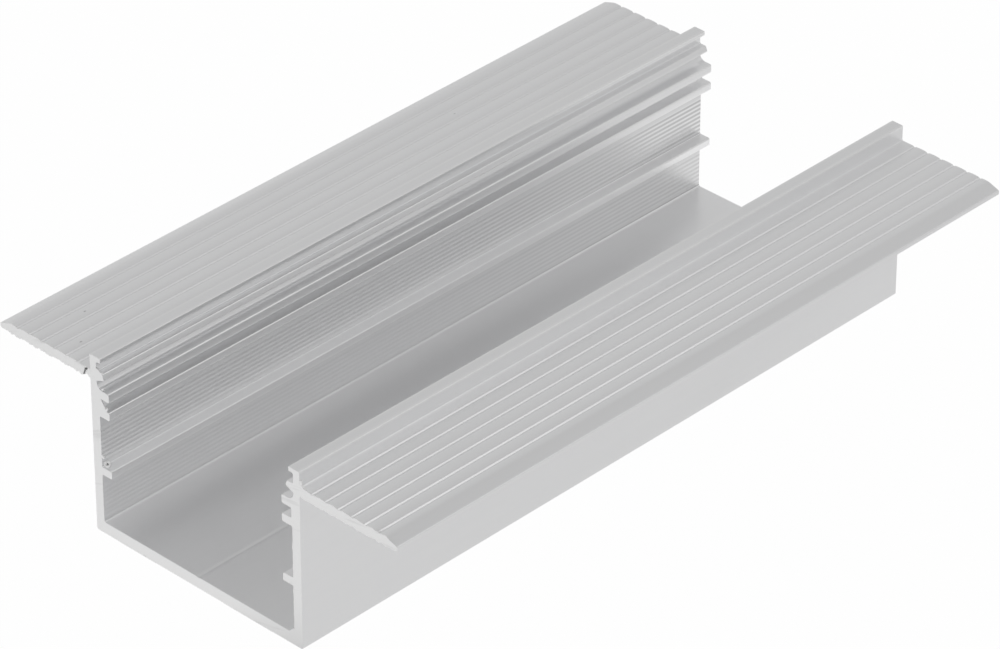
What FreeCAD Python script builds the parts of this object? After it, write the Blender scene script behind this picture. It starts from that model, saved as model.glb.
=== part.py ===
"""Recessed led profile: one extruded aluminium channel with two flanges, sawn to length.

X runs across the section, Y along the length and Z up. The origin is the centre of the
underside. The section is symmetric, so its right half is drawn and mirrored.
All sizes are in millimetres.
"""

import FreeCAD
import Part
import math
import os
from collections import namedtuple

# Overall sizes
length = 100.0
channel_width = 33.4
flange_width = 14.95
overall_height = 23.85

# Channel walls and floor
wall_thickness = 1.3
floor_thickness = 1.57
neck_thickness = 1.0

# Flange, which lies on the ceiling board
flange_drop = 2.0
flange_thickness = 1.2
flange_edge_height = 0.6
flange_slope_width = 1.75

# Grooves along the flange tops that hold the plaster
groove_width = 0.44
groove_depth = 0.15
groove_pitch = 2.025
groove_start = 1.93
band_crown = 0.05

# Shelf half way up the channel, measured up from the underside
shelf_height = 8.1
shelf_thickness = 1.05

# Two ribs with the slot between them, and the snap hook, measured down from the top
rib_reach = 1.6
hook_top_drop = 1.96
hook_tip_height = 0.72
hook_root_height = 1.2
hook_reach = 0.95
hook_slant = 0.29
cove_size = 0.95
cove_bow = 0.28
upper_rib_drop = 4.22
upper_rib_thickness = 1.15
slot_height = 1.34
slot_thinning = 0.1
lower_rib_thickness = 1.1

# Inward lip at the mouth
lip_thickness = 0.6
lip_reach = 0.71

# Low waves along the inner walls
ripple_pitch = 0.59
upper_ripple_height = 0.026
lower_ripple_height = 0.016
ripple_above_floor = 0.71
ripple_below_shelf = 1.25
ripple_above_shelf = 0.33
ripple_below_rib = 1.4

# Centring groove along the floor
centre_groove_width = 0.65
centre_groove_depth = 0.08

# Radii
base_edge_radius = 0.3
inner_root_radius = 0.4
rib_tip_radius = 0.2
rib_root_radius = 0.2
flange_root_radius = 0.25
flange_tip_radius = 0.2
flange_slope_radius = 2.5
lip_tip_radius = 0.1
lip_root_radius = 0.25
hook_tip_radius = 0.15

# A fillet takes at most this share of the shorter side that it joins
fillet_share = 0.45

# Corner of the outline: radius rounds it, and rise bows the side that leaves it
Corner = namedtuple("Corner", "x z radius rise", defaults=(0.0, 0.0))


def vector(x, z):
    """A point of the section, on the near sawn face."""
    return FreeCAD.Vector(x, -length / 2, z)


def fit_count(span, pitch):
    """How many marks at that pitch fit in the span, one at its start included."""
    if span < 0:
        return 0
    return int(span / pitch + 1e-6) + 1


def wall_ripples(x, low, high, height):
    """Waves up an inner wall face at x: bowed sides, in and out by turns, listed from the top down."""
    half_wave = ripple_pitch / 2
    waves = int((high - low) / ripple_pitch + 1e-6)
    corners = []
    for step in reversed(range(2 * waves)):
        rise = height / 2 * (-1) ** step
        corners.append(Corner(x, low + (step + 1) * half_wave, rise=rise))
    corners.append(Corner(x, low))
    return corners


def flange_grooves(top, neck_x, slope_x):
    """V grooves along a flange top and the crowned bands between them, from the edge inwards."""
    room = slope_x - groove_width - neck_x - groove_start
    corners = []
    for step in reversed(range(fit_count(room, groove_pitch))):
        x = neck_x + groove_start + step * groove_pitch
        crown = band_crown if step else 0.0
        corners.append(Corner(x + groove_width / 2, top - band_crown))
        corners.append(Corner(x, top - band_crown - groove_depth))
        corners.append(Corner(x - groove_width / 2, top - band_crown, rise=crown))
    return corners


def right_half():
    """Corners of the right half of the section, from the underside round to the floor's centre."""
    outer_x = channel_width / 2
    inner_x = outer_x - wall_thickness
    neck_x = outer_x - neck_thickness
    slot_x = inner_x - slot_thinning
    rib_x = inner_x - rib_reach
    lip_x = neck_x - lip_reach
    hook_x = neck_x - hook_reach
    edge_x = outer_x + flange_width
    slope_x = edge_x - flange_slope_width

    flange_top = overall_height - flange_drop
    flange_under = flange_top - flange_thickness
    hook_top = overall_height - hook_top_drop
    upper_rib_top = overall_height - upper_rib_drop
    upper_rib_under = upper_rib_top - upper_rib_thickness
    lower_rib_top = upper_rib_under - slot_height
    lower_rib_under = lower_rib_top - lower_rib_thickness
    shelf_top = shelf_height + shelf_thickness

    base_and_edge = [
        Corner(outer_x, 0.0, base_edge_radius),
        Corner(outer_x, flange_under, flange_root_radius),
        Corner(edge_x, flange_under, flange_tip_radius),
        Corner(edge_x, flange_under + flange_edge_height, flange_tip_radius),
        Corner(slope_x, flange_top, flange_slope_radius),
    ]
    neck_and_lip = [
        Corner(outer_x, flange_top - band_crown, rib_root_radius),
        Corner(outer_x, overall_height, lip_tip_radius),
        Corner(lip_x, overall_height, lip_tip_radius),
        Corner(lip_x, overall_height - lip_thickness, lip_tip_radius),
        Corner(neck_x, overall_height - lip_thickness, lip_root_radius),
    ]
    hook = [
        Corner(neck_x, hook_top, rib_root_radius),
        Corner(hook_x, hook_top, hook_tip_radius),
        Corner(hook_x - hook_slant, hook_top - hook_tip_height, hook_tip_radius),
        Corner(neck_x, hook_top - hook_root_height, rib_root_radius),
    ]
    ribs = [
        Corner(neck_x, upper_rib_top + cove_size, rise=-cove_bow),
        Corner(neck_x - cove_size, upper_rib_top),
        Corner(rib_x, upper_rib_top, rib_tip_radius),
        Corner(rib_x, upper_rib_under, rib_tip_radius),
        Corner(slot_x, upper_rib_under, rib_root_radius),
        Corner(slot_x, lower_rib_top, rib_root_radius),
        Corner(rib_x, lower_rib_top, rib_tip_radius),
        Corner(rib_x, lower_rib_under, rib_tip_radius),
        Corner(inner_x, lower_rib_under, rib_root_radius),
    ]
    shelf = [
        Corner(inner_x, shelf_top, rib_root_radius),
        Corner(rib_x, shelf_top, rib_tip_radius),
        Corner(rib_x, shelf_height, rib_tip_radius),
        Corner(inner_x, shelf_height, rib_root_radius),
    ]
    floor = [
        Corner(inner_x, floor_thickness, inner_root_radius),
        Corner(centre_groove_width / 2, floor_thickness),
    ]
    upper_ripples = wall_ripples(
        inner_x,
        shelf_top + ripple_above_shelf,
        lower_rib_under - ripple_below_rib,
        upper_ripple_height,
    )
    lower_ripples = wall_ripples(
        inner_x,
        floor_thickness + ripple_above_floor,
        shelf_height - ripple_below_shelf,
        lower_ripple_height,
    )
    grooves = flange_grooves(flange_top, outer_x, slope_x)
    return (
        base_and_edge
        + grooves
        + neck_and_lip
        + hook
        + ribs
        + upper_ripples
        + shelf
        + lower_ripples
        + floor
    )


def whole_outline():
    """Both halves and the bottom of the floor's centre groove, as one closed ring of corners."""
    right = right_half()
    centre = [Corner(0.0, floor_thickness - centre_groove_depth)]
    left = []
    for index in reversed(range(len(right))):
        here = right[index]
        rise = right[index - 1].rise if index else 0.0
        left.append(Corner(-here.x, here.z, here.radius, rise))
    return right + centre + left


def fillet(before, here, after):
    """Start, middle and end of the rounding at a corner, or the corner three times where it is sharp."""
    to_before = vector(before.x, before.z) - vector(here.x, here.z)
    to_after = vector(after.x, after.z) - vector(here.x, here.z)
    half_angle = to_before.getAngle(to_after) / 2
    corner = vector(here.x, here.z)
    if here.radius <= 0 or math.pi / 2 - half_angle < 1e-3:
        return corner, corner, corner
    room = fillet_share * min(to_before.Length, to_after.Length)
    reach = min(here.radius / math.tan(half_angle), room)
    radius = reach * math.tan(half_angle)
    to_before.normalize()
    to_after.normalize()
    inwards = to_before + to_after
    inwards.normalize()
    middle = corner + inwards * (radius / math.sin(half_angle) - radius)
    return corner + to_before * reach, middle, corner + to_after * reach


def side(start, end, rise):
    """A straight side from start to end, or one bowed outwards by rise (inwards below zero)."""
    if rise == 0:
        return Part.LineSegment(start, end).toShape()
    along = end - start
    outwards = FreeCAD.Vector(along.z, 0, -along.x)
    outwards.normalize()
    middle = (start + end) / 2 + outwards * rise
    return Part.Arc(start, middle, end).toShape()


def section_face(corners):
    """The section as a flat face, with its corners rounded."""
    rounds = []
    for index, here in enumerate(corners):
        after = corners[(index + 1) % len(corners)]
        rounds.append(fillet(corners[index - 1], here, after))
    edges = []
    for index, here in enumerate(corners):
        start, middle, end = rounds[index]
        if (end - start).Length > 1e-6:
            edges.append(Part.Arc(start, middle, end).toShape())
        next_start = rounds[(index + 1) % len(corners)][0]
        edges.append(side(end, next_start, here.rise))
    return Part.Face(Part.Wire(edges))


def led_profile():
    """The extruded channel, sawn square at both ends."""
    return section_face(whole_outline()).extrude(FreeCAD.Vector(0, length, 0))


os.makedirs("parts", exist_ok=True)
profile = led_profile()
profile.exportStep("parts/led_profile.step")
print("valid", profile.isValid(), "volume mm3", round(profile.Volume, 1))
box = profile.BoundBox
print("box", [round(v, 3) for v in (box.XMin, box.YMin, box.ZMin, box.XMax, box.YMax, box.ZMax)])
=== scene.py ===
"""Looks of a recessed led profile: one aluminium extrusion, sawn to length, on a pale studio floor.

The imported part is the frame. Its section is read from it, then swept again as a finer mesh with
die lines, softened edges and two saw-cut ends, and the burrs that the saw left are added.
Everything is in metres: X across the section, Y along the extrusion and Z up.
"""

import math
import random

import bpy
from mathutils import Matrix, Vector, geometry, noise


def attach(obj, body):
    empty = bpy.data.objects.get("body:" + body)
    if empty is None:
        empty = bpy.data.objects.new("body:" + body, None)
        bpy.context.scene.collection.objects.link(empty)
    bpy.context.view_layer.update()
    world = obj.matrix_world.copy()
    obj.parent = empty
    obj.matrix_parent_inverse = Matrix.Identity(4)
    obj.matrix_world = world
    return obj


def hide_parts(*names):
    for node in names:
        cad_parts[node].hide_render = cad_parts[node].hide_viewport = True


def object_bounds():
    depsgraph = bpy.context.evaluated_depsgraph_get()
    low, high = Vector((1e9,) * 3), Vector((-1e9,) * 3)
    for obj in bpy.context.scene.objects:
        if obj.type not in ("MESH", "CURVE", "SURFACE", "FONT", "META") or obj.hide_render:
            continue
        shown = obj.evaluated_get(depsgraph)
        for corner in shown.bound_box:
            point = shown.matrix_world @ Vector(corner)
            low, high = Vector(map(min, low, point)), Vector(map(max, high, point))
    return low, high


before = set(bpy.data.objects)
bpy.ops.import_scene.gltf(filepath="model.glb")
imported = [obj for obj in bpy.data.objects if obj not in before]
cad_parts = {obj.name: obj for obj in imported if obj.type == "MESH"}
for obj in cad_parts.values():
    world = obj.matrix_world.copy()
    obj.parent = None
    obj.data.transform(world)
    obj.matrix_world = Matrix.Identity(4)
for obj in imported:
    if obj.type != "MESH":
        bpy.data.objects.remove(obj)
cad_low, cad_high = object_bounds()

MM = 0.001
NODE = "led_profile"

# Photograph's viewpoint, found from the straight edges of the object
CAMERA_PLACE = Vector((0.39459, -0.41062, 0.38580))
CAMERA_AZIMUTH = 43.957
CAMERA_ELEVATION = 33.301
CAMERA_LENS = 211.49
CAMERA_SENSOR = 36.0

# Mesh of the extrusion
ARC_ROUNDS = 2
ARC_TURN_LOW = math.radians(3.0)
ARC_TURN_HIGH = math.radians(42.0)
ARC_LIKENESS = 0.4
CORNER_CUT = 0.035 * MM
CORNER_ROUNDS = 2
CORNER_TURN = 9.0
LONGEST_SIDE = 0.32 * MM
STATION_GAP = 9.0 * MM
STATIONS_BY_END = (0.15 * MM, 0.6 * MM, 1.6 * MM)
DIE_LINE_DEPTH = 0.0006 * MM
DIE_LINE_PITCH = 0.55 * MM
DIE_LINE_LENGTH = 0.12
SAWN_EDGE_ROLL = 0.03 * MM
EDGE_WINDOW = 0.12 * MM
EDGE_FULL_TURN = math.radians(60.0)
WAVE_WALL_X = 15.4 * MM
WAVE_REACH = 0.05 * MM
WAVE_FULL_LEAN = 0.15
SMOOTH_ANGLE = 24.0

# Saw cut: marks are arcs about a blade centre far from the section
SAW_GRID = 0.17 * MM
SAW_GRID_CLEAR = 0.07 * MM
SAW_GRID_FIRST_ROW = 0.63
SAW_MARK_PITCH = 0.62 * MM
SAW_MARK_DEPTH = 0.006 * MM
BLADE_CENTRE_X = 0.05
BLADE_CENTRE_Z = -0.14

# Ragged near edge: how far it wanders on the flanges and elsewhere, and how far in it reaches
RAGGED_FLANGE = 0.05 * MM
RAGGED_REST = 0.012 * MM
RAGGED_LUMP = 0.45 * MM
RAGGED_LENGTH = 0.4 * MM
FLANGE_FROM_X = 16.9 * MM

# Pieces broken out of the near edge: x, z, half width and depth in mm
NICKS = (
    (-17.30, 20.65, 0.20, 0.45),
    (-8.80, 0.00, 0.30, 0.12),
    (28.60, 21.85, 0.25, 0.10),
    (-24.10, 20.65, 0.30, 0.10),
)

# Burrs along the near edge: from and to (x, z), the tallest and the lumps' length, all in mm
BURRS = (
    ("burr_right_under", (16.95, 20.65), (31.3, 20.65), 0.20, 0.55),
    ("burr_right_top", (30.2, 21.80), (17.0, 21.85), 0.11, 0.60),
    ("burr_left_under", (-31.3, 20.65), (-17.9, 20.65), 0.22, 0.45),
    ("burr_left_top", (-17.2, 21.85), (-30.4, 21.80), 0.09, 0.70),
    ("burr_left_lip", (-15.1, 23.85), (-16.6, 23.85), 0.13, 0.40),
    ("burr_base_left", (-13.0, 0.0), (-7.0, 0.0), 0.10, 0.50),
    ("burr_base_right", (4.0, 0.0), (12.0, 0.0), 0.05, 0.60),
    ("burr_right_wall", (15.4, 14.0), (15.4, 2.4), 0.05, 0.90),
    ("burr_left_wall", (-15.4, 2.2), (-15.4, 7.4), 0.04, 0.70),
)
BURR_GAP = 0.08 * MM
BURR_ROOT = 0.06 * MM
BURR_PROUD = 0.004 * MM
BURR_BULGE = 0.03 * MM
BURR_BACK = 0.13 * MM
BURR_TAPER = 5
BURR_LEAST = 0.35
BURR_FINE_LUMPS = 0.6
BURR_FINE_RATE = 3.1
BURR_SHOULDER = 0.7
BURR_SEED = 7

# Smeared flakes and curls at the near end: how far they stand proud and reach in, then their
# corners as (x, z), all in mm
FLAKES = (
    ("lobe_left", 0.10, 0.02, (
        (-19.4, 21.5), (-18.7, 20.9), (-18.25, 20.42), (-17.9, 20.48), (-17.75, 20.95),
        (-17.5, 21.35), (-17.6, 21.8), (-18.4, 21.95), (-19.0, 21.8),
    )),
    ("root_left", 0.05, 0.20, (
        (-16.65, 21.9), (-17.1, 21.85), (-17.2, 21.55), (-17.05, 21.1), (-16.65, 20.9),
    )),
    ("root_right", 0.02, 0.30, (
        (16.65, 22.4), (16.85, 22.35), (17.1, 22.1), (17.4, 21.95), (17.7, 21.8), (16.65, 21.75),
    )),
    ("bit_right", 0.12, 0.10, (
        (16.65, 22.7), (16.95, 22.95), (17.15, 22.85), (17.25, 22.5), (17.1, 22.2),
    )),
    ("hook_left", 0.01, 0.25, (
        (-15.72, 22.4), (-15.5, 22.35), (-15.15, 22.15), (-14.85, 22.05), (-14.68, 21.8), (-15.72, 21.8),
    )),
    ("slot_fill_left", 0.006, 0.15, (
        (-15.6, 18.5), (-15.05, 18.5), (-14.85, 18.1), (-14.6, 17.8), (-14.4, 17.5), (-14.3, 17.1),
        (-15.6, 17.1),
    )),
    ("slot_curl_left", 0.12, 0.06, (
        (-14.45, 17.3), (-14.25, 17.5), (-14.1, 17.75), (-13.93, 17.92), (-13.9, 17.65),
        (-14.05, 17.3), (-14.3, 17.1),
    )),
    ("cove_curl_left", 0.08, 0.15, ((-14.9, 19.85), (-14.7, 20.2), (-14.5, 20.1), (-14.6, 19.8))),
    ("wall_curl_left", 0.07, 0.10, (
        (-15.45, 10.95), (-15.2, 10.8), (-14.92, 10.7), (-14.9, 10.45), (-15.1, 10.4), (-15.45, 10.45),
    )),
    ("corner_right", 0.01, 0.25, ((14.5, 1.5), (14.85, 1.85), (15.1, 2.1), (15.45, 2.35), (15.45, 1.5))),
)
FLAKE_ROUNDS = 2

# Rings of a flake from its front to its back: share of the outline's size, and the share of how far
# it stands proud (below zero) or reaches in
FLAKE_RINGS = ((0.55, -1.0), (0.85, -0.8), (1.0, -0.2), (1.0, 1.0))

# Painted shadow: a dark strip where the crack lies in shade
# Crack beside the left flange's lobe: its middle line as (x, z), half its width, and how far it
# stands proud and reaches in, in mm
CRACK_SHADOW_LINE = (
    (-17.72, 20.7), (-17.5, 21.2), (-17.42, 21.62), (-17.28, 21.72), (-17.18, 21.5), (-17.1, 21.75),
)
CRACK_SHADOW_HALF_WIDTH = 0.03
CRACK_SHADOW_PROUD = 0.115
CRACK_SHADOW_INWARDS = 0.1

# Chip lying on the left shelf: a crumpled ring, with a dark disc as painted shadow in its hole
CHIP_PLACE = Vector((-14.74, -49.72, 9.70)) * MM
CHIP_FACING = Vector((0.45, -0.75, 0.50))
CHIP_RING = 0.27 * MM
CHIP_THICKNESS = 0.15 * MM
CHIP_CRUMPLE = 0.10 * MM
CRUMPLE_SHIFTS = (2.3, 9.1, 15.7)
CHIP_LUMP = 0.15 * MM
CHIP_HOLE_SHADOW_RADIUS = 0.20 * MM
CHIP_HOLE_SHADOW_DEPTH = 0.05 * MM
CHIP_STEPS = 20
CHIP_SIDES = 10

# Colours, metal share and roughness
MILL_COLOUR = (0.956, 0.957, 0.962, 1.0)
MILL_DARK = (0.948, 0.949, 0.954, 1.0)
PIT_COLOUR = (0.45, 0.45, 0.45, 1.0)
SAWN_COLOUR = (0.97, 0.97, 0.97, 1.0)
SAWN_DARK = (0.88, 0.88, 0.88, 1.0)
# Painted shadow for the crack and the chip's hole
GAP_SHADOW_COLOUR = (0.22, 0.22, 0.22, 1.0)
METAL_SHARE = 0.80
MILL_ROUGHNESS = 0.34
SAWN_ROUGHNESS = 0.5
GAP_ROUGHNESS = 0.6

# Mill finish: how dark and light streaks change it, how rare and wide its pits are, and its bump
STREAK_LOW = 0.38
STREAK_HIGH = 0.62
DARK_STREAK_ROUGHNESS = 0.325
LIGHT_STREAK_ROUGHNESS = 0.305
PIT_RARITY = 0.985
PIT_REACH = 0.11
MILL_BUMP_DEPTH = 0.003 * MM
MILL_BUMP_STRENGTH = 0.4
SAWN_BUMP_DEPTH = 0.008 * MM
SAWN_BUMP_STRENGTH = 0.7

# The channel's inside by height above the underside: painted shade and light beside the outside's colour,
# and roughness
CHANNEL_HALF_WIDTH = 0.0160
NECK_FROM = 0.0222
TALLEST = 0.025
# Painted shade and light: darker low down and from the neck up, lighter along the slot between the ribs
INSIDE_PAINTED_SHADES = (
    (0.0085, 0.986),
    (0.0090, 1.0),
    (0.0158, 1.0),
    (0.0162, 1.036),
    (0.0174, 1.036),
    (0.0178, 1.0),
    (0.0220, 1.0),
    (0.0223, 0.972),
)
INSIDE_ROUGHNESS = (
    (0.0079, 0.42),
    (0.0090, 0.36),
    (0.0098, 0.36),
    (0.0112, 0.41),
    (0.0150, 0.41),
    (0.0156, 0.28),
)

# Towards the far end the inside is shinier, its walls are painted lighter and its waves get painted shade
FAR_START = 0.0
FAR_END = 0.045
FAR_WALL_TOP = 0.0155
FAR_PAINTED_LIGHT = (1.04, 1.04, 1.04, 1.0)
FAR_SMOOTHER = 0.13
# Painted shade on the waves' up-facing sides towards the far end: its share and its colour
FAR_WAVE_PAINTED_SHADE = 0.42
WAVE_PAINTED_SHADE = (0.1, 0.1, 0.1, 1.0)
PLAIN = (1.0, 1.0, 1.0, 1.0)

# Outer edges are shinier and carry a painted highlight. No metal is smoother than the last value, which
# keeps noise away
EDGE_HIGHLIGHT_COLOUR = (0.99, 0.99, 0.99, 1.0)
EDGE_SMOOTHER = 0.12
SMOOTHEST = 0.28

# Floor: its size and cloth, its share of plain white to the camera, and its painted brightness in the
# metal
FLOOR_REACH = 6.0
FLOOR_CLOTH = (0.9, 0.9, 0.9, 1.0)
FLOOR_WHITE_TO_CAMERA = 0.985
# Painted light and shadow on the floor as the metal sees it: lighter in front, darker at the side, a glow
# behind
FLOOR_AT_SIDE = 0.685
FLOOR_IN_FRONT = 0.87
FLOOR_FRONT_EDGE = -0.046
FLOOR_SIDE_EDGE = -0.034
FLOOR_BEHIND_START = 0.052
FLOOR_BEHIND_MIDDLE = -0.006
FLOOR_BEHIND_HALF = 0.010
FLOOR_BEHIND_PAINTED_GLOW = 0.20

# Sky's brightness in the metal: at the horizon, part way up and overhead
SKY_HORIZON = 0.53
SKY_MIDDLE = 0.62
SKY_TOP = 0.40
MIDDLE_HEIGHT = 0.45

# Soft lamp above and behind the object
SOFTBOX_PLACE = (0.203, 0.235, 0.424)
SOFTBOX_AIM = (0.024, -0.04, 0.022)
SOFTBOX_SIDE = 0.20
SOFTBOX_POWER = 0.088


# Small tools for outlines


def outline_normals(points):
    """Unit normals of a closed outline of (x, z) points, pointing out of the metal."""
    normals = []
    for index in range(len(points)):
        along = points[(index + 1) % len(points)] - points[index - 1]
        normals.append(Vector((along.y, -along.x)).normalized())
    return normals


def signed_area(points):
    """Area of a closed outline: above zero where it runs counterclockwise."""
    total = 0.0
    for index, here in enumerate(points):
        after = points[(index + 1) % len(points)]
        total += here.x * after.y - after.x * here.y
    return total / 2


def section_outline():
    """The section's outline as (x, z) points in order, counterclockwise, read from the near sawn face."""
    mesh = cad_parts[NODE].data
    near_y = cad_low.y
    places = [v.co for v in mesh.vertices]

    def key(index):
        return (round(places[index].x * 1e7), round(places[index].z * 1e7))

    uses = {}
    for polygon in mesh.polygons:
        corners = list(polygon.vertices)
        if any(abs(places[i].y - near_y) > 1e-6 for i in corners):
            continue
        for first, second in zip(corners, corners[1:] + corners[:1]):
            edge = (key(first), key(second))
            uses[edge] = uses.get(edge, 0) + 1
    follow = {}
    for first, second in uses:
        if (second, first) not in uses:
            follow[first] = second
    start = min(follow)
    ring = [start]
    while follow[ring[-1]] != start:
        ring.append(follow[ring[-1]])
    points = [Vector((x * 1e-7, z * 1e-7)) for x, z in ring]
    if signed_area(points) < 0:
        points.reverse()
    return points


def turn_at(points, index):
    """Signed turn of the outline at a point: above zero where it is convex."""
    before = points[index] - points[index - 1]
    after = points[(index + 1) % len(points)] - points[index]
    return math.atan2(before.x * after.y - before.y * after.x, before.dot(after))


def on_arc(turn, neighbours):
    """Whether a point's turn is like one of its neighbours' turns, as it is along an arc."""
    if not ARC_TURN_LOW < abs(turn) < ARC_TURN_HIGH:
        return False
    return any(ARC_LIKENESS < other / turn < 1 / ARC_LIKENESS for other in neighbours)


def smooth_arcs(points):
    """Cuts the corners of arcs at a quarter of their shorter side, which makes them rounder."""
    for _ in range(ARC_ROUNDS):
        turns = [turn_at(points, index) for index in range(len(points))]
        smoothed = []
        for index, here in enumerate(points):
            after = (index + 1) % len(points)
            if not on_arc(turns[index], (turns[index - 1], turns[after])):
                smoothed.append(here)
                continue
            to_before = points[index - 1] - here
            to_after = points[after] - here
            cut = 0.25 * min(to_before.length, to_after.length)
            smoothed.append(here + to_before.normalized() * cut)
            smoothed.append(here + to_after.normalized() * cut)
        points = smoothed
    return points


def soften_corners(points):
    """Cuts every corner back a little, several times over, which rounds it."""
    for _ in range(CORNER_ROUNDS):
        softened = []
        for index, here in enumerate(points):
            to_before = points[index - 1] - here
            to_after = points[(index + 1) % len(points)] - here
            turn = math.pi - to_before.angle(to_after)
            if turn < math.radians(CORNER_TURN):
                softened.append(here)
                continue
            for side in (to_before, to_after):
                softened.append(here + side * min(0.25, CORNER_CUT / side.length))
        points = softened
    return points


def split_long_sides(points):
    """Adds evenly spaced points on sides longer than LONGEST_SIDE."""
    finer = []
    for index, here in enumerate(points):
        after = points[(index + 1) % len(points)]
        parts = max(1, math.ceil((after - here).length / LONGEST_SIDE))
        for part in range(parts):
            finer.append(here.lerp(after, part / parts))
    return finer


def stations():
    """Places along Y where the section is set, closer together by the sawn ends."""
    near, far = cad_low.y, cad_high.y
    close = [0.0, SAWN_EDGE_ROLL, *STATIONS_BY_END]
    spans = math.ceil((far - near - 2 * close[-1]) / STATION_GAP)
    middle = []
    for step in range(1, spans):
        middle.append(near + close[-1] + step * (far - near - 2 * close[-1]) / spans)
    return [near + c for c in close] + middle + [far - c for c in reversed(close)]


def die_line(point, normal, y):
    """How far a die line lifts or sinks the surface at a point of the outline."""
    along = point.x * normal.y - point.y * normal.x
    fine = noise.noise(Vector((along / DIE_LINE_PITCH, y / DIE_LINE_LENGTH, normal.x * 3.0)))
    return DIE_LINE_DEPTH * fine


def broken_edge(point, y):
    """How far the near edge stands out (above zero) or is broken away at a point of the outline."""
    inwards = y - cad_low.y
    if inwards > RAGGED_LENGTH:
        return 0.0
    fall = 1.0 - inwards / RAGGED_LENGTH
    wander = RAGGED_FLANGE if abs(point.x) > FLANGE_FROM_X else RAGGED_REST
    edge = wander * noise.noise(Vector((point.x / RAGGED_LUMP, point.y / RAGGED_LUMP, 2.3)))
    for x, z, half_width, depth in NICKS:
        away = (point - Vector((x, z)) * MM).length / (half_width * MM)
        edge -= depth * MM * max(0.0, 1.0 - away * away)
    return edge * fall


def edge_masks(outline, normals):
    """For each point of the outline: how sharply it bends outwards, and how much a wave faces up."""
    count = len(outline)
    turns = [max(0.0, turn_at(outline, index)) for index in range(count)]
    edges = []
    leans = []
    for index, here in enumerate(outline):
        total = turns[index]
        for step in (-1, 1):
            other = index + step
            while (outline[other % count] - here).length < EDGE_WINDOW:
                total += turns[other % count]
                other += step
        upwards = normals[index].y
        on_wave = abs(abs(here.x) - WAVE_WALL_X) < WAVE_REACH and abs(upwards) < 0.5
        on_flange = abs(here.x) > FLANGE_FROM_X
        edges.append(0.0 if on_wave or on_flange else min(1.0, total / EDGE_FULL_TURN))
        lean = min(1.0, max(0.0, 0.5 + 0.5 * upwards / WAVE_FULL_LEAN))
        leans.append(lean if on_wave else 0.0)
    return edges, leans


def saw_mark(x, z, end):
    """Height of the saw's marks on a sawn face: arcs about the blade's centre, uneven in depth."""
    reach = math.hypot(x - end * BLADE_CENTRE_X, z - BLADE_CENTRE_Z)
    phase = reach / SAW_MARK_PITCH
    strokes = noise.noise(Vector((phase, 3.1 * end, x / 0.03)))
    coarse = noise.noise(Vector((phase * 0.23, 7.7 * end, 0.4)))
    return SAW_MARK_DEPTH * (strokes + 0.8 * coarse)


def inner_grid(outline):
    """Points inside the outline in rows, kept clear of its edge."""
    low = min(p.y for p in outline)
    high = max(p.y for p in outline)
    grid = []
    rows = int((high - low) / SAW_GRID)
    for row in range(1, rows + 1):
        z = low + (row - 1 + SAW_GRID_FIRST_ROW) * SAW_GRID
        crossings = []
        for index, here in enumerate(outline):
            after = outline[(index + 1) % len(outline)]
            if (here.y <= z) != (after.y <= z):
                share = (z - here.y) / (after.y - here.y)
                crossings.append(here.x + share * (after.x - here.x))
        crossings.sort()
        for left, right in zip(crossings[0::2], crossings[1::2]):
            span = right - left - 2 * SAW_GRID_CLEAR
            count = int(span / SAW_GRID)
            for step in range(count + 1):
                share = (step + 0.5 * (row % 2)) / max(count, 1)
                if share <= 1.0 and span > 0:
                    grid.append(Vector((left + SAW_GRID_CLEAR + span * share, z)))
    return grid


def clear_of(outline, grid, gap):
    """The grid's points that are at least gap from every point of the outline."""
    cells = {}
    for point in outline:
        cells.setdefault((int(point.x // gap), int(point.y // gap)), []).append(point)
    kept = []
    for point in grid:
        column, row = int(point.x // gap), int(point.y // gap)
        near = []
        for i in (-1, 0, 1):
            for j in (-1, 0, 1):
                near += cells.get((column + i, row + j), [])
        if all((point - other).length >= gap for other in near):
            kept.append(point)
    return kept


def sawn_face(outline):
    """Triangles that fill the outline, fine enough to carry the saw's marks: their points, their
    corners, and for each point the outline's points that it came from."""
    grid = clear_of(outline, inner_grid(outline), SAW_GRID_CLEAR)
    count = len(outline)
    edges = [(i, (i + 1) % count) for i in range(count)]
    found = geometry.delaunay_2d_cdt(outline + grid, edges, [], 1, 1e-9)
    return found[0], found[2], found[3]


def smooth_object(name, vertices, faces):
    """An object with smooth faces and sharp corners, in the scene."""
    mesh = bpy.data.meshes.new(name)
    mesh.from_pydata(vertices, [], faces)
    mesh.validate()
    mesh.polygons.foreach_set("use_smooth", [True] * len(mesh.polygons))
    mesh.set_sharp_from_angle(angle=math.radians(SMOOTH_ANGLE))
    made = bpy.data.objects.new(name, mesh)
    bpy.context.scene.collection.objects.link(made)
    return made


# The extrusion


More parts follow.
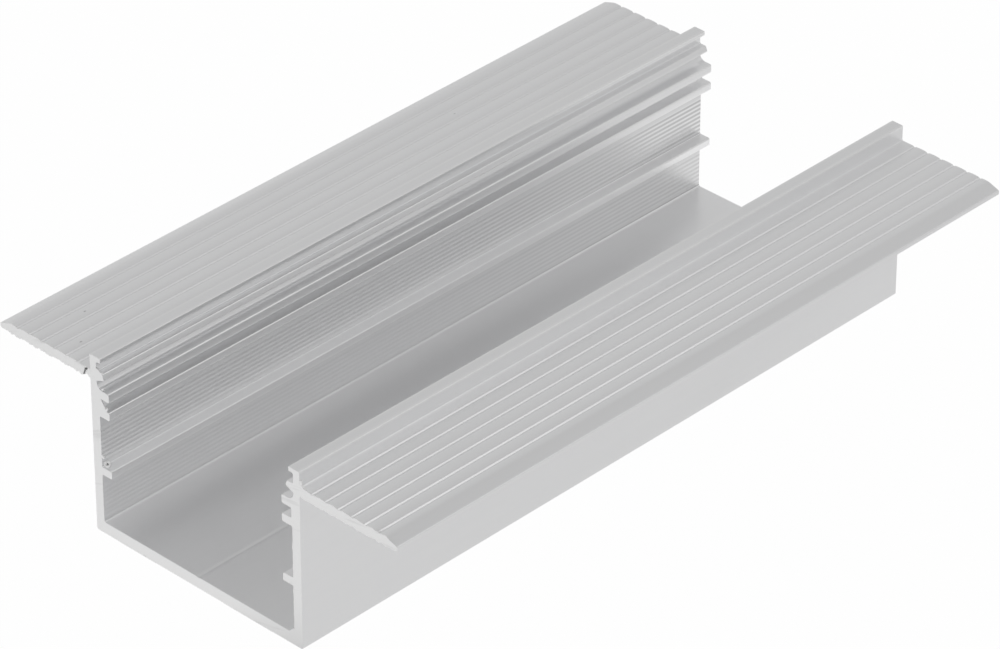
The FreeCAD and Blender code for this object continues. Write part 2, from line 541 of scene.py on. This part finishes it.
def extruded_body():
    """The whole profile as one closed mesh: swept sides and two sawn faces."""
    outline = split_long_sides(soften_corners(smooth_arcs(section_outline())))
    normals = outline_normals(outline)
    levels = stations()
    count = len(outline)
    vertices = []
    for y in levels:
        at_end = y in (levels[0], levels[-1])
        inset = SAWN_EDGE_ROLL if at_end else 0.0
        for point, normal in zip(outline, normals):
            lift = die_line(point, normal, y) - inset + broken_edge(point, y)
            vertices.append((point.x + normal.x * lift, y, point.y + normal.y * lift))
    faces = []
    for level in range(len(levels) - 1):
        for index in range(count):
            after = (index + 1) % count
            a = level * count + index
            b = level * count + after
            faces.append((a, a + count, b + count, b))
    sawn_from = len(faces)
    for end, level in ((-1, 0), (1, len(levels) - 1)):
        ring = [Vector((v[0], v[2])) for v in vertices[level * count:(level + 1) * count]]
        points, triangles, origins = sawn_face(ring)
        places = []
        for point, sources in zip(points, origins):
            rim = [s for s in sources if s < count]
            if rim:
                places.append(level * count + rim[0])
                continue
            y = levels[level] + saw_mark(point.x, point.y, end)
            places.append(len(vertices))
            vertices.append((point.x, y, point.y))
        for corners in triangles:
            face = [places[i] for i in corners]
            faces.append(face if end < 0 else face[::-1])
    body = smooth_object("extruded_body", vertices, faces)
    rest = [0.0] * (len(vertices) - count * len(levels))
    for name, values in zip(("edge", "lean"), edge_masks(outline, normals)):
        mask = body.data.attributes.new(name, "FLOAT", "POINT")
        mask.data.foreach_set("value", values * len(levels) + rest)
    for polygon in body.data.polygons:
        polygon.material_index = 1 if polygon.index >= sawn_from else 0
    return body


# Burrs, flakes and the chip


def new_piece(name, vertices, faces, material):
    """A piece of the profile as one closed mesh, which rides on the whole."""
    piece = smooth_object(name, vertices, faces)
    piece.data.materials.append(material)
    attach(piece, "root")


def outline_run(outline, first, last):
    """The outline's points from the one nearest to first on to the one nearest to last."""
    count = len(outline)
    start = min(range(count), key=lambda i: (outline[i] - first).length)
    stop = min(range(count), key=lambda i: (outline[i] - last).length)
    if stop < start:
        stop += count
    return [outline[i % count] for i in range(start, stop + 1)]


def resample(points, gap):
    """Evenly spaced points along an open line."""
    spaced = [points[0]]
    for first, second in zip(points, points[1:]):
        while (second - spaced[-1]).length > gap and (second - first).length > 0:
            spaced.append(spaced[-1] + (second - spaced[-1]).normalized() * gap)
    return spaced


def tube(rings):
    """Faces that join equal rings of corners one after another and close both ends."""
    count = len(rings[0])
    vertices = [corner for ring in rings for corner in ring]
    faces = []
    for level in range(len(rings) - 1):
        for index in range(count):
            after = (index + 1) % count
            a = level * count + index
            b = level * count + after
            faces.append((a, b, b + count, a + count))
    last = (len(rings) - 1) * count
    faces.append(tuple(reversed(range(count))))
    faces.append(tuple(range(last, last + count)))
    return vertices, faces


def burr(name, outline, first, last, tallest, lump, material):
    """Metal that the saw pushed over a stretch of the near edge, lumpy and uneven in height."""
    line = resample(outline_run(outline, Vector(first) * MM, Vector(last) * MM), BURR_GAP)
    seed = random.uniform(0.0, 50.0)
    near = cad_low.y
    rings = []
    for index, here in enumerate(line):
        along = line[min(index + 1, len(line) - 1)] - line[max(index - 1, 0)]
        out = Vector((along.y, -along.x)).normalized()
        reach = index * BURR_GAP / (lump * MM)
        lumps = noise.noise(Vector((reach, seed, 0.0)))
        lumps += BURR_FINE_LUMPS * noise.noise(Vector((BURR_FINE_RATE * reach, seed, 5.0)))
        taper = min(1.0, index / BURR_TAPER, (len(line) - 1 - index) / BURR_TAPER)
        height = tallest * MM * taper * max(0.0, BURR_LEAST + lumps)
        root = here - out * BURR_ROOT
        tip = here + out * height
        bulge = BURR_BULGE * taper * max(0.0, lumps)
        front = near - BURR_PROUD
        shoulder = here + out * height * BURR_SHOULDER
        rings.append([
            (root.x, front, root.y),
            (tip.x, front - bulge, tip.y),
            (shoulder.x, near + BURR_BACK * 0.5, shoulder.y),
            (root.x, near + BURR_BACK, root.y),
        ])
    new_piece(name, *tube(rings), material)


def rounded_loop(corners, rounds):
    """A closed clockwise loop with its corners cut at a quarter of their sides, several times over."""
    loop = [Vector(corner) * MM for corner in corners]
    for _ in range(rounds):
        cut = []
        for index, here in enumerate(loop):
            cut.append(here.lerp(loop[index - 1], 0.25))
            cut.append(here.lerp(loop[(index + 1) % len(loop)], 0.25))
        loop = cut
    return loop if signed_area(loop) < 0 else loop[::-1]


def flake(name, proud, inwards, corners, material):
    """A smeared flake of metal: a thin plate with a rounded outline across the near sawn face."""
    loop = rounded_loop(corners, FLAKE_ROUNDS)
    centre = sum(loop, Vector((0.0, 0.0))) / len(loop)
    near = cad_low.y
    rings = []
    for share, depth in FLAKE_RINGS:
        y = near + depth * (proud if depth < 0 else inwards) * MM
        ring = []
        for corner in loop:
            x = centre.x + (corner.x - centre.x) * share
            z = centre.y + (corner.y - centre.y) * share
            ring.append((x, y, z))
        rings.append(ring)
    new_piece(name, *tube(rings), material)


def painted_crack_shadow(material):
    """Painted shadow: a dark strip where the gap between the left flange's lobe and the neck lies in
    shade.
    """
    line = [Vector(point) * MM for point in CRACK_SHADOW_LINE]
    rings = []
    for index, here in enumerate(line):
        along = (line[min(index + 1, len(line) - 1)] - line[max(index - 1, 0)]).normalized()
        out = Vector((along.y, -along.x)) * CRACK_SHADOW_HALF_WIDTH * MM
        front = cad_low.y - CRACK_SHADOW_PROUD * MM
        back = cad_low.y + CRACK_SHADOW_INWARDS * MM
        rings.append([
            (here.x - out.x, front, here.y - out.y),
            (here.x + out.x, front, here.y + out.y),
            (here.x + out.x, back, here.y + out.y),
            (here.x - out.x, back, here.y - out.y),
        ])
    new_piece("crack_shadow_left", *tube(rings), material)


def crumple(place):
    """A push in three directions that depends on the place alone, so that it is the same each run."""
    diagonal = Vector((1.0, 1.0, 1.0))
    return Vector([noise.noise(place + diagonal * shift) for shift in CRUMPLE_SHIFTS])


def chip(metal, dark):
    """The chip on the left shelf: a crumpled ring of swarf, and a dark disc in its hole as painted
    shadow.
    """
    turn = CHIP_FACING.to_track_quat("Z", "Y")
    vertices = []
    faces = []
    count = CHIP_STEPS * CHIP_SIDES
    for step in range(CHIP_STEPS):
        around = 2 * math.pi * step / CHIP_STEPS
        for side in range(CHIP_SIDES):
            tilt = 2 * math.pi * side / CHIP_SIDES
            reach = CHIP_RING + CHIP_THICKNESS * math.cos(tilt)
            rise = CHIP_THICKNESS * math.sin(tilt)
            place = Vector((reach * math.cos(around), reach * math.sin(around), rise))
            place += crumple(place / CHIP_LUMP) * CHIP_CRUMPLE
            vertices.append(CHIP_PLACE + turn @ place)
            a = step * CHIP_SIDES + side
            b = step * CHIP_SIDES + (side + 1) % CHIP_SIDES
            c = (a + CHIP_SIDES) % count
            d = (b + CHIP_SIDES) % count
            faces.append((a, c, d, b))
    new_piece("chip_left_shelf", vertices, faces, metal)
    # Painted shadow: a dark disc in the chip's hole
    rings = []
    for depth in (-CHIP_HOLE_SHADOW_DEPTH, 0.0):
        ring = []
        for step in range(CHIP_STEPS):
            around = 2 * math.pi * step / CHIP_STEPS
            place = Vector((CHIP_HOLE_SHADOW_RADIUS * math.cos(around), CHIP_HOLE_SHADOW_RADIUS * math.sin(around), depth))
            ring.append(CHIP_PLACE + turn @ place)
        rings.append(ring)
    new_piece("chip_hole_shadow", *tube(rings), dark)


# Shader tools


def new_tree(name, inputs, outputs):
    """An empty shader group with named sockets: its tree, and its input and output nodes."""
    tree = bpy.data.node_groups.new(name, "ShaderNodeTree")
    for label, kind, value in inputs:
        socket = tree.interface.new_socket(name=label, in_out="INPUT", socket_type=kind)
        socket.default_value = value
    for label, kind in outputs:
        tree.interface.new_socket(name=label, in_out="OUTPUT", socket_type=kind)
    return tree, tree.nodes.new("NodeGroupInput"), tree.nodes.new("NodeGroupOutput")


def feed(tree, socket, value):
    """Links a socket to another, or sets its value."""
    if isinstance(value, bpy.types.NodeSocket):
        tree.links.new(value, socket)
    else:
        socket.default_value = value


def calc(tree, operation, *values):
    """A Math node's result."""
    node = tree.nodes.new("ShaderNodeMath")
    node.operation = operation
    for socket, value in zip(node.inputs, values):
        feed(tree, socket, value)
    return node.outputs[0]


def vector_calc(tree, operation, first, second):
    """A Vector Math node's result."""
    node = tree.nodes.new("ShaderNodeVectorMath")
    node.operation = operation
    feed(tree, node.inputs[0], first)
    feed(tree, node.inputs[1], second)
    return node.outputs[0]


def blend_colours(tree, share, first, second):
    """A colour mix by a factor from 0 to 1."""
    node = tree.nodes.new("ShaderNodeMix")
    node.data_type = "RGBA"
    feed(tree, node.inputs["Factor"], share)
    feed(tree, node.inputs[6], first)
    feed(tree, node.inputs[7], second)
    return node.outputs[2]


def remap(tree, value, low, high, new_low, new_high):
    """A Map Range node's result, clamped."""
    node = tree.nodes.new("ShaderNodeMapRange")
    for name, number in zip(
        ("Value", "From Min", "From Max", "To Min", "To Max"),
        (value, low, high, new_low, new_high),
    ):
        feed(tree, node.inputs[name], number)
    return node.outputs["Result"]


def noise_at(tree, place, scale, detail=2.0, roughness=0.5):
    """A noise texture's value at a place."""
    node = tree.nodes.new("ShaderNodeTexNoise")
    feed(tree, node.inputs["Vector"], place)
    feed(tree, node.inputs["Scale"], scale)
    feed(tree, node.inputs["Detail"], detail)
    feed(tree, node.inputs["Roughness"], roughness)
    return node.outputs["Fac"]


def stretch(tree, place, across, along):
    """The place scaled so that noise read there runs in lines along Y."""
    node = tree.nodes.new("ShaderNodeCombineXYZ")
    feed(tree, node.inputs[0], across)
    feed(tree, node.inputs[1], along)
    feed(tree, node.inputs[2], across)
    return vector_calc(tree, "MULTIPLY", place, node.outputs[0])


def die_line_group():
    """Lines that the die drags along the metal: fine, medium and broad ones, all along Y."""
    tree, start, end = new_tree(
        "die_lines",
        [
            ("Place", "NodeSocketVector", (0.0, 0.0, 0.0)),
            ("Lines Per Metre", "NodeSocketFloat", 9000.0),
            ("Wander Per Metre", "NodeSocketFloat", 25.0),
        ],
        [("Height", "NodeSocketFloat"), ("Streaks", "NodeSocketFloat")],
    )
    place = start.outputs["Place"]
    lines = start.outputs["Lines Per Metre"]
    wander = start.outputs["Wander Per Metre"]
    fine = noise_at(tree, stretch(tree, place, lines, wander), 1.0, 3.0, 0.6)
    medium_lines = calc(tree, "MULTIPLY", lines, 0.22)
    medium = noise_at(tree, stretch(tree, place, medium_lines, wander), 1.0, 2.0, 0.55)
    broad_lines = calc(tree, "MULTIPLY", lines, 0.05)
    broad = noise_at(tree, stretch(tree, place, broad_lines, wander), 1.0, 2.0, 0.5)
    fine_height = calc(tree, "MULTIPLY", fine, 0.5)
    medium_height = calc(tree, "MULTIPLY", medium, 0.8)
    height = calc(tree, "ADD", fine_height, medium_height)
    medium_streaks = calc(tree, "MULTIPLY", medium, 0.55)
    broad_streaks = calc(tree, "MULTIPLY", broad, 0.45)
    streaks = calc(tree, "ADD", medium_streaks, broad_streaks)
    feed(tree, end.inputs["Height"], height)
    feed(tree, end.inputs["Streaks"], streaks)
    return tree


def speck_group():
    """Sparse small specks, such as pits and grains, drawn out along Y."""
    tree, start, end = new_tree(
        "specks",
        [
            ("Place", "NodeSocketVector", (0.0, 0.0, 0.0)),
            ("Per Metre", "NodeSocketFloat", 700.0),
            ("Length Share", "NodeSocketFloat", 0.6),
            ("Reach", "NodeSocketFloat", 0.16),
            ("Rarity", "NodeSocketFloat", 0.93),
        ],
        [("Mask", "NodeSocketFloat")],
    )
    along = calc(tree, "MULTIPLY", start.outputs["Per Metre"], start.outputs["Length Share"])
    place = stretch(tree, start.outputs["Place"], start.outputs["Per Metre"], along)
    cell = tree.nodes.new("ShaderNodeTexVoronoi")
    cell.feature = "F1"
    feed(tree, cell.inputs["Vector"], place)
    feed(tree, cell.inputs["Scale"], 1.0)
    near = remap(tree, cell.outputs["Distance"], start.outputs["Reach"], 0.0, 0.0, 1.0)
    split = tree.nodes.new("ShaderNodeSeparateColor")
    feed(tree, split.inputs[0], cell.outputs["Color"])
    chosen = calc(tree, "GREATER_THAN", split.outputs[0], start.outputs["Rarity"])
    feed(tree, end.inputs["Mask"], calc(tree, "MULTIPLY", near, chosen))
    return tree


def saw_mark_group():
    """Marks of the saw across a sawn face: arcs about the blade's centre, with a few deeper ones."""
    tree, start, end = new_tree(
        "saw_marks",
        [
            ("Place", "NodeSocketVector", (0.0, 0.0, 0.0)),
            ("Marks Per Metre", "NodeSocketFloat", 5000.0),
        ],
        [("Height", "NodeSocketFloat"), ("Deep Marks", "NodeSocketFloat")],
    )
    centre = (BLADE_CENTRE_X, 0.0, BLADE_CENTRE_Z)
    from_centre = vector_calc(tree, "SUBTRACT", start.outputs["Place"], centre)
    flat = vector_calc(tree, "MULTIPLY", from_centre, (1.0, 0.0, 1.0))
    reach_node = tree.nodes.new("ShaderNodeVectorMath")
    reach_node.operation = "LENGTH"
    feed(tree, reach_node.inputs[0], flat)
    reach = reach_node.outputs["Value"]
    split = tree.nodes.new("ShaderNodeSeparateXYZ")
    feed(tree, split.inputs[0], start.outputs["Place"])

    def arcs(share, drift, detail):
        node = tree.nodes.new("ShaderNodeCombineXYZ")
        rate = calc(tree, "MULTIPLY", start.outputs["Marks Per Metre"], share)
        feed(tree, node.inputs[0], calc(tree, "MULTIPLY", reach, rate))
        feed(tree, node.inputs[1], calc(tree, "MULTIPLY", split.outputs[0], drift))
        feed(tree, node.inputs[2], calc(tree, "SIGN", split.outputs[1]))
        return noise_at(tree, node.outputs[0], 1.0, detail, 0.6)

    fine = arcs(1.0, 60.0, 3.0)
    deep = remap(tree, arcs(0.16, 90.0, 2.0), 0.63, 0.72, 0.0, 1.0)
    height = calc(tree, "SUBTRACT", fine, calc(tree, "MULTIPLY", deep, 0.8))
    feed(tree, end.inputs["Height"], height)
    feed(tree, end.inputs["Deep Marks"], deep)
    return tree


def place_group(tree, group, **values):
    """A group node in a tree, with its inputs set by name (underscores stand for spaces)."""
    node = tree.nodes.new("ShaderNodeGroup")
    node.node_tree = group
    for name, value in values.items():
        feed(tree, node.inputs[name.replace("_", " ")], value)
    return node


def bare_metal(name, roughness):
    """A material with a metallic Principled shader: the material, its tree and the shader."""
    material = bpy.data.materials.new(name)
    material.use_nodes = True
    tree = material.node_tree
    shader = tree.nodes["Principled BSDF"]
    shader.inputs["Metallic"].default_value = METAL_SHARE
    shader.inputs["Roughness"].default_value = roughness
    return material, tree, shader


def object_place(tree):
    """The point of the surface in the part's own frame."""
    return tree.nodes.new("ShaderNodeTexCoord").outputs["Object"]


def mask_of(tree, name):
    """One of the masks stored on the mesh's points."""
    node = tree.nodes.new("ShaderNodeAttribute")
    node.attribute_name = name
    return node.outputs["Fac"]


def bump(tree, height, depth, strength):
    """A Bump node's normal."""
    node = tree.nodes.new("ShaderNodeBump")
    node.inputs["Strength"].default_value = strength
    node.inputs["Distance"].default_value = depth
    feed(tree, node.inputs["Height"], height)
    return node.outputs["Normal"]


def by_height(tree, height, stops):
    """A value read off a ramp of (height, value) stops."""
    ramp = tree.nodes.new("ShaderNodeValToRGB")
    elements = ramp.color_ramp.elements
    while len(elements) < len(stops):
        elements.new(0.5)
    for element, (place, _) in zip(elements, stops):
        element.position = place / TALLEST
    for element, (_, value) in zip(elements, stops):
        element.color = (value, value, value, 1.0)
    feed(tree, ramp.inputs["Fac"], calc(tree, "DIVIDE", height, TALLEST))
    return ramp.outputs["Color"]


def inside_zones(tree, place):
    """Mask of the channel's inside, how near the far end is, the inside's painted shade and light, and
    its roughness.
    """
    split = tree.nodes.new("ShaderNodeSeparateXYZ")
    feed(tree, split.inputs[0], place)
    inside = calc(tree, "LESS_THAN", calc(tree, "ABSOLUTE", split.outputs[0]), CHANNEL_HALF_WIDTH)
    # From the neck up the painted shade reaches the outside too
    inside = calc(tree, "MAXIMUM", inside, calc(tree, "GREATER_THAN", split.outputs[2], NECK_FROM))
    far = calc(tree, "MULTIPLY", inside, remap(tree, split.outputs[1], FAR_START, FAR_END, 0.0, 1.0))
    low = calc(tree, "LESS_THAN", split.outputs[2], FAR_WALL_TOP)
    # Painted shade and light by height
    painted_shade = by_height(tree, split.outputs[2], INSIDE_PAINTED_SHADES)
    # Painted light: the low inside lighter towards the far end
    painted_shade = blend_colours(tree, calc(tree, "MULTIPLY", far, low), painted_shade, FAR_PAINTED_LIGHT)
    painted_shade = blend_colours(tree, inside, PLAIN, painted_shade)
    return inside, far, painted_shade, by_height(tree, split.outputs[2], INSIDE_ROUGHNESS)


def mill_finish_and_painted_light(groups):
    """Surface as the die leaves it: satin, with fine lines along the extrusion and a few pits, under
    painted light and shade.
    """
    material, tree, shader = bare_metal("mill_finish_and_painted_light", MILL_ROUGHNESS)
    place = object_place(tree)
    lines = place_group(tree, groups["die_lines"], Place=place)
    pits = place_group(tree, groups["specks"], Place=place, Rarity=PIT_RARITY, Reach=PIT_REACH)
    streaks = remap(tree, lines.outputs["Streaks"], STREAK_LOW, STREAK_HIGH, 0.0, 1.0)
    metal = blend_colours(tree, streaks, MILL_DARK, MILL_COLOUR)
    colour = blend_colours(tree, pits.outputs["Mask"], metal, PIT_COLOUR)
    inside, far, painted_shade, inside_rough = inside_zones(tree, place)
    # Painted light and shade on the colour: by height, and lighter towards the far end
    colour = vector_calc(tree, "MULTIPLY", colour, painted_shade)
    edge = mask_of(tree, "edge")
    # Painted highlight: sharp outer edges lighter in colour
    colour = blend_colours(tree, edge, colour, EDGE_HIGHLIGHT_COLOUR)
    # Painted shade: the up-facing sides of the wall's waves darker towards the far end
    far_lean = calc(tree, "MULTIPLY", mask_of(tree, "lean"), far)
    wave_shade_share = calc(tree, "MULTIPLY", far_lean, FAR_WAVE_PAINTED_SHADE)
    colour = blend_colours(tree, wave_shade_share, colour, WAVE_PAINTED_SHADE)
    feed(tree, shader.inputs["Base Color"], colour)
    outside_rough = remap(tree, streaks, 0.0, 1.0, DARK_STREAK_ROUGHNESS, LIGHT_STREAK_ROUGHNESS)
    rough = remap(tree, inside, 0.0, 1.0, outside_rough, inside_rough)
    rough = calc(tree, "SUBTRACT", rough, calc(tree, "MULTIPLY", far, FAR_SMOOTHER))
    rough = calc(tree, "SUBTRACT", rough, calc(tree, "MULTIPLY", edge, EDGE_SMOOTHER))
    rough = calc(tree, "MAXIMUM", rough, SMOOTHEST)
    feed(tree, shader.inputs["Roughness"], rough)
    height = calc(tree, "SUBTRACT", lines.outputs["Height"], pits.outputs["Mask"])
    feed(tree, shader.inputs["Normal"], bump(tree, height, MILL_BUMP_DEPTH, MILL_BUMP_STRENGTH))
    return material


def sawn_finish(groups):
    """Bright face left by the saw, with arcs across it."""
    material, tree, shader = bare_metal("sawn_finish", SAWN_ROUGHNESS)
    place = object_place(tree)
    marks = place_group(tree, groups["saw_marks"], Place=place)
    colour = blend_colours(tree, marks.outputs["Deep Marks"], SAWN_COLOUR, SAWN_DARK)
    feed(tree, shader.inputs["Base Color"], colour)
    normal = bump(tree, marks.outputs["Height"], SAWN_BUMP_DEPTH, SAWN_BUMP_STRENGTH)
    feed(tree, shader.inputs["Normal"], normal)
    return material


def painted_gap_shadow():
    """Painted shadow: a dark material for a crack or a hole too narrow for light."""
    material, _, shader = bare_metal("painted_gap_shadow", GAP_ROUGHNESS)
    shader.inputs["Base Color"].default_value = GAP_SHADOW_COLOUR
    return material


# Stage


def studio_floor():
    """A pale floor that shows white to the camera, painted light and shadow in the metal, and still keeps
    a soft shadow.
    """
    mesh = bpy.data.meshes.new("studio_floor")
    corners = [(x * FLOOR_REACH, y * FLOOR_REACH, 0.0) for x, y in ((-1, -1), (1, -1), (1, 1), (-1, 1))]
    mesh.from_pydata(corners, [], [(0, 1, 2, 3)])
    floor = bpy.data.objects.new("studio_floor", mesh)
    bpy.context.scene.collection.objects.link(floor)
    material = bpy.data.materials.new("studio_floor")
    material.use_nodes = True
    tree = material.node_tree
    tree.nodes.clear()
    out = tree.nodes.new("ShaderNodeOutputMaterial")
    cloth = tree.nodes.new("ShaderNodeBsdfDiffuse")
    cloth.inputs["Color"].default_value = FLOOR_CLOTH
    white = tree.nodes.new("ShaderNodeEmission")
    mix = tree.nodes.new("ShaderNodeMixShader")
    share, strength = floor_white(tree)
    feed(tree, mix.inputs["Fac"], share)
    feed(tree, white.inputs["Strength"], strength)
    tree.links.new(cloth.outputs[0], mix.inputs[1])
    tree.links.new(white.outputs[0], mix.inputs[2])
    tree.links.new(mix.outputs[0], out.inputs["Surface"])
    mesh.materials.append(material)


def floor_white(tree):
    """How much plain white replaces the floor, and its strength: to the camera, and in shiny metal as
    painted light and shadow by place.
    """
    path = tree.nodes.new("ShaderNodeLightPath")
    shiny = calc(tree, "MAXIMUM", path.outputs["Is Glossy Ray"], path.outputs["Is Transmission Ray"])
    to_camera = path.outputs["Is Camera Ray"]
    share = calc(tree, "ADD", calc(tree, "MULTIPLY", to_camera, FLOOR_WHITE_TO_CAMERA), shiny)
    split = tree.nodes.new("ShaderNodeSeparateXYZ")
    feed(tree, split.inputs[0], object_place(tree))
    # Painted light and shadow by place: brighter in front, darker beside the object, a painted glow
    # behind
    across = calc(tree, "ADD", split.outputs[0], split.outputs[1])
    painted_floor_light = remap(tree, across, FLOOR_FRONT_EDGE, FLOOR_SIDE_EDGE, FLOOR_IN_FRONT, FLOOR_AT_SIDE)
    behind = calc(tree, "GREATER_THAN", split.outputs[1], FLOOR_BEHIND_START)
    from_middle = calc(tree, "ABSOLUTE", calc(tree, "SUBTRACT", split.outputs[0], FLOOR_BEHIND_MIDDLE))
    beside = calc(tree, "LESS_THAN", from_middle, FLOOR_BEHIND_HALF)
    painted_glow = calc(tree, "MULTIPLY", calc(tree, "MULTIPLY", behind, beside), FLOOR_BEHIND_PAINTED_GLOW)
    painted_floor_light = calc(tree, "ADD", painted_floor_light, painted_glow)
    return share, calc(tree, "ADD", to_camera, calc(tree, "MULTIPLY", shiny, painted_floor_light))


def studio_sky():
    """White behind the object. Seen in the metal it is a pale tent, a little greyer overhead."""
    world = bpy.data.worlds.new("studio_sky")
    bpy.context.scene.world = world
    world.use_nodes = True
    tree = world.node_tree
    tree.nodes.clear()
    out = tree.nodes.new("ShaderNodeOutputWorld")
    direction = tree.nodes.new("ShaderNodeTexCoord").outputs["Generated"]
    split = tree.nodes.new("ShaderNodeSeparateXYZ")
    feed(tree, split.inputs[0], direction)
    low_tent = remap(tree, split.outputs[2], 0.0, MIDDLE_HEIGHT, SKY_HORIZON, SKY_MIDDLE)
    high_fall = remap(tree, split.outputs[2], MIDDLE_HEIGHT, 1.0, 0.0, SKY_MIDDLE - SKY_TOP)
    tent = calc(tree, "SUBTRACT", low_tent, high_fall)
    path = tree.nodes.new("ShaderNodeLightPath")
    level = tree.nodes.new("ShaderNodeMix")
    feed(tree, level.inputs["Factor"], path.outputs["Is Camera Ray"])
    feed(tree, level.inputs[2], tent)
    feed(tree, level.inputs[3], 1.0)
    background = tree.nodes.new("ShaderNodeBackground")
    background.inputs["Color"].default_value = PLAIN
    feed(tree, background.inputs["Strength"], level.outputs[0])
    tree.links.new(background.outputs[0], out.inputs["Surface"])


def softbox(name, place, aim, side, power):
    """A square soft lamp at a place, turned to face a point."""
    lamp = bpy.data.lights.new(name, "AREA")
    lamp.shape = "SQUARE"
    lamp.size = side
    lamp.energy = power
    holder = bpy.data.objects.new(name, lamp)
    holder.location = place
    holder.rotation_euler = (Vector(aim) - Vector(place)).to_track_quat("-Z", "Y").to_euler()
    bpy.context.scene.collection.objects.link(holder)


def camera():
    """The camera, at the photograph's viewpoint."""
    lens = bpy.data.cameras.new("camera")
    lens.lens = CAMERA_LENS
    lens.sensor_width = CAMERA_SENSOR
    lens.clip_start = 0.01
    lens.clip_end = 50.0
    holder = bpy.data.objects.new("camera", lens)
    holder.location = CAMERA_PLACE
    holder.rotation_euler = (
        math.radians(90.0 - CAMERA_ELEVATION),
        0.0,
        math.radians(CAMERA_AZIMUTH),
    )
    bpy.context.scene.collection.objects.link(holder)
    bpy.context.scene.camera = holder


# Making

random.seed(BURR_SEED)
camera()
groups = {
    "die_lines": die_line_group(),
    "specks": speck_group(),
    "saw_marks": saw_mark_group(),
}
body = extruded_body()
sawn = sawn_finish(groups)
# Material for painted shadow in the crack and the chip's hole
gap = painted_gap_shadow()
body.data.materials.append(mill_finish_and_painted_light(groups))
body.data.materials.append(sawn)
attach(body, "root")
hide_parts(NODE)

edge_line = split_long_sides(section_outline())
for name, first, last, tallest, lump in BURRS:
    burr(name, edge_line, first, last, tallest, lump, sawn)
for name, proud, inwards, corners in FLAKES:
    flake(name, proud, inwards, corners, sawn)
# Painted shadow strip beside the left flange's lobe
painted_crack_shadow(gap)
chip(sawn, gap)

studio_floor()
studio_sky()
softbox("high_softbox", SOFTBOX_PLACE, SOFTBOX_AIM, SOFTBOX_SIDE, SOFTBOX_POWER)
bpy.context.scene.view_settings.view_transform = "Standard"
